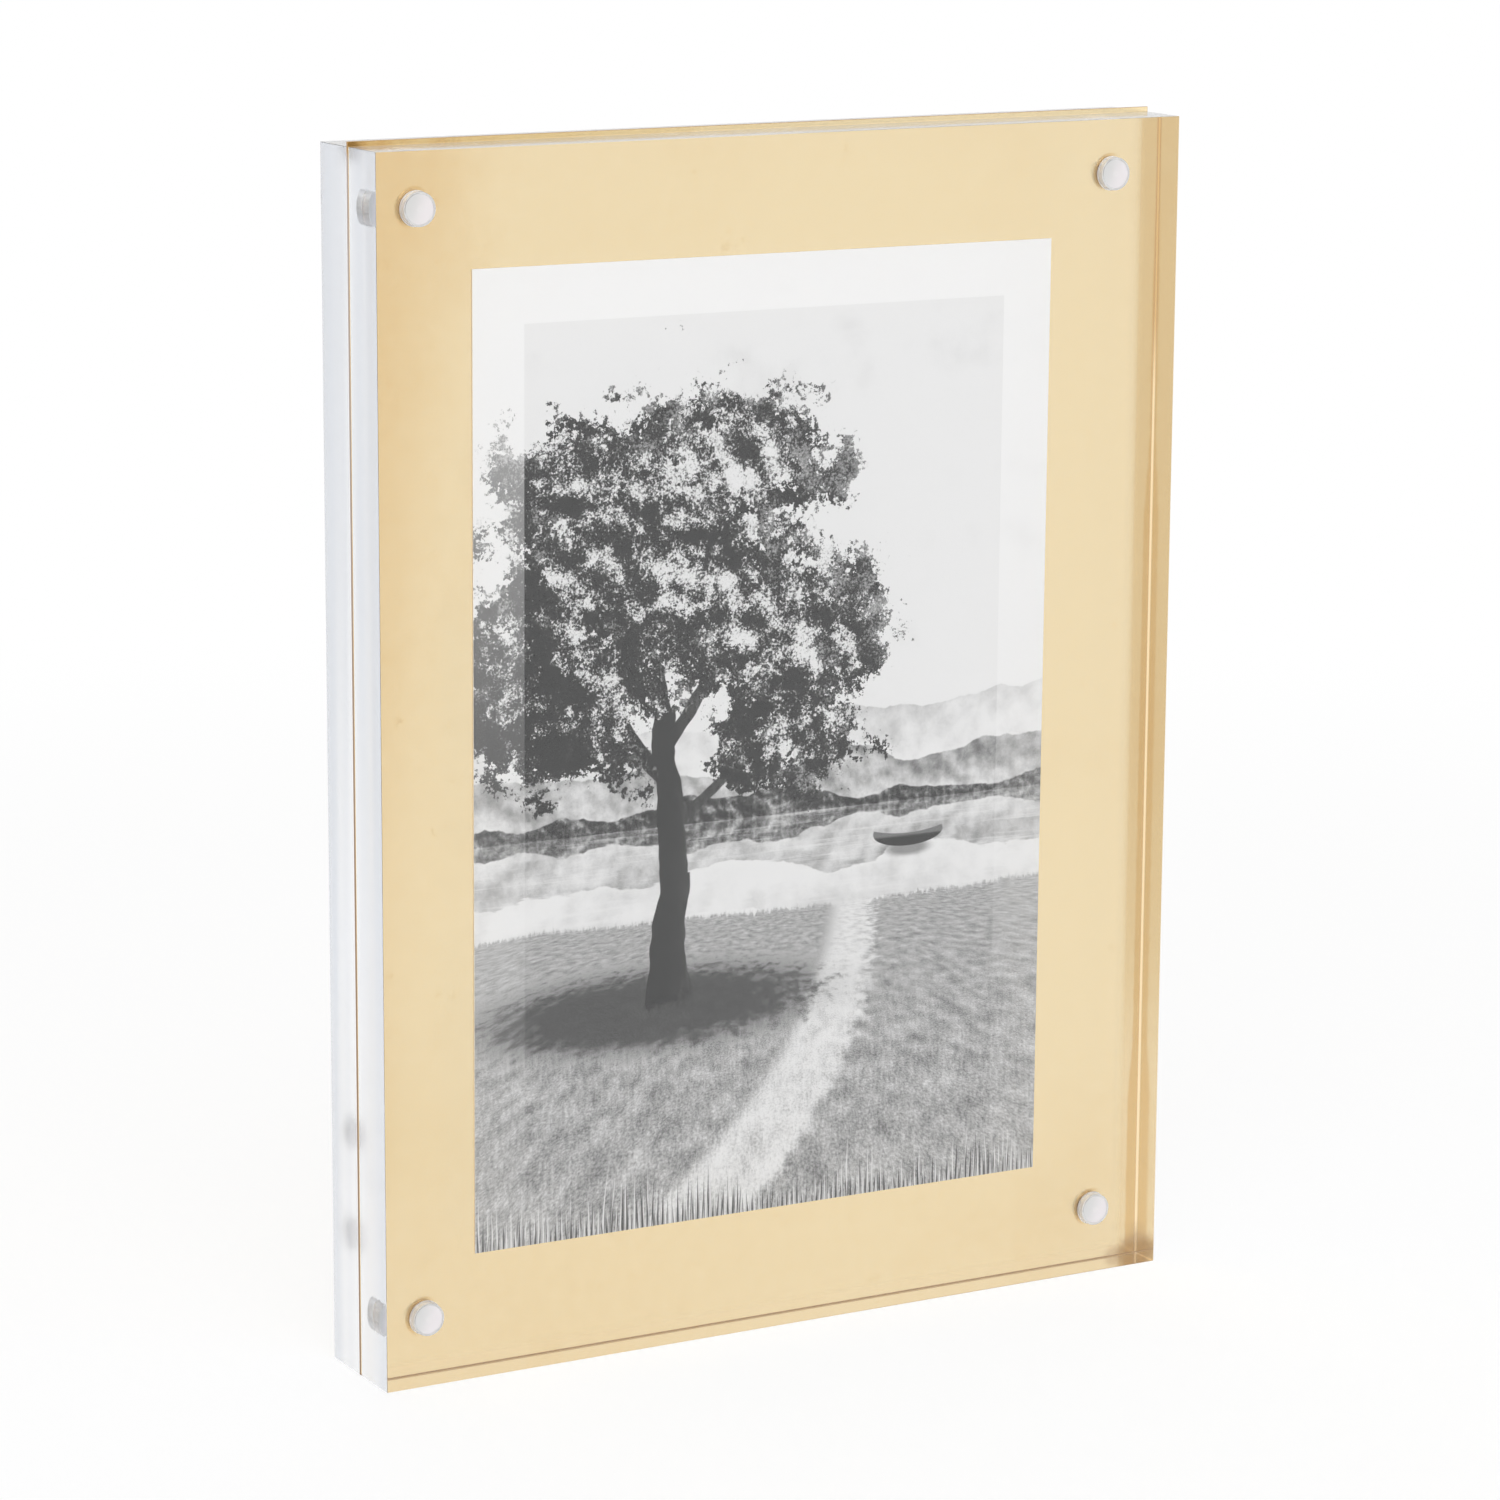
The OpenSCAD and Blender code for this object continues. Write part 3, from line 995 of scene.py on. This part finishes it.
class FRAME_OT_studio(bpy.types.Operator):
    """Sets up the floor, the light and the camera"""

    bl_idname = "picture_frame.studio"
    bl_label = "Studio"

    def execute(self, context):
        settings = context.scene.frame_studio
        self.camera(context.scene, settings)
        self.floor(settings)
        self.light(context.scene, settings)
        self.render_paths(context.scene)
        return {"FINISHED"}

    def camera(self, scene, settings):
        data = bpy.data.cameras.new("camera")
        data.lens = settings.lens
        data.sensor_width = 36.0
        data.clip_start = 0.01
        eye = bpy.data.objects.new("camera", data)
        eye.matrix_world = (
            Matrix.Translation(settings.camera_at)
            @ Matrix.Rotation(settings.azimuth, 4, "Z")
            @ Matrix.Rotation(math.pi / 2 - settings.elevation, 4, "X")
            @ Matrix.Rotation(settings.roll, 4, "Z")
        )
        scene.collection.objects.link(eye)
        scene.camera = eye

    def warm(self, g, x, y, settings):
        """White, or the warm tint towards the camera's side. x and y say which way a point lies."""
        length = g.math("SQRT", x * x + y * y) + 0.001
        facing = (x * math.sin(settings.azimuth) - y * math.cos(settings.azimuth)) / length
        return g.mix(g.smooth(facing, 0.78, 0.97), (1, 1, 1), settings.warm_side)

    def rays(self, g):
        """Two masks: what the camera sees at once, and what it sees in a mirror or through glass."""
        eye = g.node("LightPath", outlet="Is Camera Ray")
        ports = eye.socket.node.outputs
        # A matt face on the way is lit by the plain white world
        sharp = Channel(g, ports["Is Glossy Ray"]) + Channel(g, ports["Is Transmission Ray"])
        matt = Channel(g, ports["Diffuse Depth"]) > 0.5
        return eye, g.math("MINIMUM", sharp, 1.0) * (1 - matt)

    def floor(self, settings):
        """A pale floor that keeps the frame's shadow."""
        bm = bmesh.new()
        bmesh.ops.create_circle(bm, cap_ends=True, segments=96, radius=FLOOR_RADIUS)
        # A hair below the foot, so that no two faces share a plane
        bmesh.ops.translate(bm, vec=(0, 0, -0.1 * MM), verts=bm.verts)
        mesh = bpy.data.meshes.new("floor")
        bm.to_mesh(mesh)
        bm.free()
        floor = bpy.data.objects.new("floor", mesh)
        bpy.context.scene.collection.objects.link(floor)
        g = new_material("pale_floor")
        x, y, _ = g.axes(g.node("TexCoord", outlet="Object"))
        far = g.smooth(g.math("SQRT", x * x + y * y), 0.3, 0.6)
        eye, mirrored = self.rays(g)
        # The floor is warm only in front of the frame and to the left: the brass mirrors the rest of it
        beside = g.smooth(x, 0.03, -0.03) * g.smooth(y, -0.08, -0.16)
        tint = g.mix(mirrored * beside, (1, 1, 1), self.warm(g, x, y, settings))
        # Painted shadow: right under the sheet, glass and brass see the floor brown
        below = g.smooth(abs(y), 0.7 * MM, 0.4 * MM) * (abs(x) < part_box("brass_sheet")[1].x)
        tint = g.mix(mirrored * below, tint, (0.5, 0.34, 0.17))
        matt = g.node("BsdfDiffuse", None, {"Color": tint})
        white = g.node("Emission", None, {"Color": tint, "Strength": 1.0})
        share = eye * (0.75 + 0.25 * far) + mirrored
        shader = g.node("MixShader", None, {0: share, 1: matt, 2: white})
        mesh.materials.append(g.finish(shader))

    def light(self, scene, settings):
        """Even light from all round, and a softbox above the viewer's left."""
        world = bpy.data.worlds.new("studio")
        scene.world = world
        g = Graph(world)
        eye, mirrored = self.rays(g)
        x, y, z = g.axes(g.node("TexCoord", outlet="Generated"))
        tint = g.mix(mirrored, (1, 1, 1), self.warm(g, x, y, settings))
        strength = g.blend(eye + mirrored, settings.dome, 1.0)
        sky = g.node("Background", None, {"Color": tint, "Strength": strength})
        g.node("OutputWorld", None, {"Surface": sky})
        lamp = bpy.data.lights.new("softbox", "AREA")
        lamp.energy = settings.softbox
        lamp.shape = "RECTANGLE"
        lamp.size, lamp.size_y = SOFTBOX_SIZE
        box = bpy.data.objects.new("softbox", lamp)
        aim = (SOFTBOX_TARGET - SOFTBOX_PLACE).to_track_quat("-Z", "Y")
        box.matrix_world = Matrix.Translation(SOFTBOX_PLACE) @ aim.to_matrix().to_4x4()
        scene.collection.objects.link(box)

    def render_paths(self, scene):
        """Light bounces many times between the faces of a clear block, and stays sharp, before it leaves."""
        scene.view_settings.view_transform = "Standard"
        scene.cycles.max_bounces = 48
        scene.cycles.glossy_bounces = 48
        scene.cycles.transmission_bounces = 48
        scene.cycles.diffuse_bounces = 4
        scene.cycles.blur_glossy = 0.0


class FRAME_PT_picture_frame(bpy.types.Panel):
    """Lists the steps that dress the picture frame."""

    bl_idname = "FRAME_PT_picture_frame"
    bl_label = "Picture Frame"
    bl_space_type = "VIEW_3D"
    bl_region_type = "UI"
    bl_category = "Picture Frame"

    def draw(self, context):
        for step in STEPS:
            self.layout.operator(step.bl_idname)
        for name in SETTINGS:
            box = self.layout.box()
            settings = getattr(context.scene, name)
            for prop in settings.bl_rna.properties:
                if prop.identifier not in ("rna_type", "name"):
                    box.prop(settings, prop.identifier)


SETTINGS = {
    "frame_acrylic": FRAME_PG_acrylic,
    "frame_brass": FRAME_PG_brass,
    "frame_print": FRAME_PG_print,
    "frame_nickel": FRAME_PG_nickel,
    "frame_studio": FRAME_PG_studio,
}
STEPS = [
    FRAME_OT_acrylic_blocks,
    FRAME_OT_brass_sheet,
    FRAME_OT_photo_print,
    FRAME_OT_magnets,
    FRAME_OT_studio,
]
CLASSES = [*SETTINGS.values(), *STEPS, FRAME_PT_picture_frame]


def register():
    for cls in CLASSES:
        bpy.utils.register_class(cls)
    for name, group in SETTINGS.items():
        setattr(bpy.types.Scene, name, PointerProperty(type=group))


def unregister():
    for name in SETTINGS:
        delattr(bpy.types.Scene, name)
    for cls in reversed(CLASSES):
        bpy.utils.unregister_class(cls)


def main():
    register()
    bpy.ops.picture_frame.acrylic_blocks()
    bpy.ops.picture_frame.brass_sheet()
    bpy.ops.picture_frame.photo_print()
    bpy.ops.picture_frame.magnets()
    bpy.ops.picture_frame.studio()


if __name__ == "__main__":
    main()
